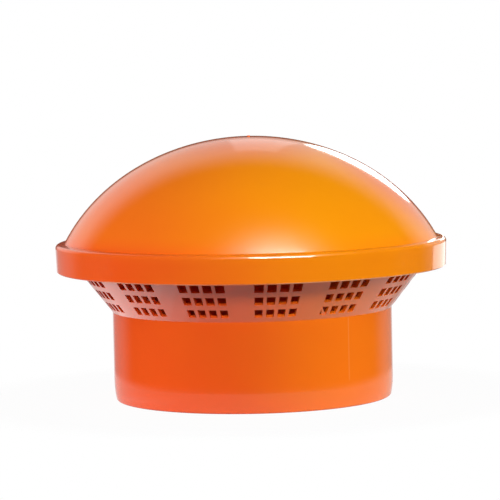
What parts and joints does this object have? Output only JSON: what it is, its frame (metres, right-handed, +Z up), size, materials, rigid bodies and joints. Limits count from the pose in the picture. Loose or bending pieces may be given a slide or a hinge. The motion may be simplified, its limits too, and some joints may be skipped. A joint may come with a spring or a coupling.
{
  "type": "sewer vent cap",
  "caption": "Domed rain cap for a soil vent pipe: a smooth hood with an overhanging skirt, snapped onto a flared perforated grille above a plain collar that drops over the pipe.",
  "frame": {"origin": "centre of the collar's foot, on the pipe's axis", "axes": "+Z up the pipe's axis towards the crown of the hood; a group of holes is centred on -Y"},
  "size_m": [0.1607, 0.1606, 0.1076],
  "materials": {
    "hood_plastic": "injection-moulded polypropylene, orange, smooth satin gloss",
    "collar_plastic": "injection-moulded polypropylene, orange, smooth satin gloss"
  },
  "bodies": {
    "root": {"dome_cap": "hood_plastic", "vented_collar": "collar_plastic"}
  },
  "joints": []
}
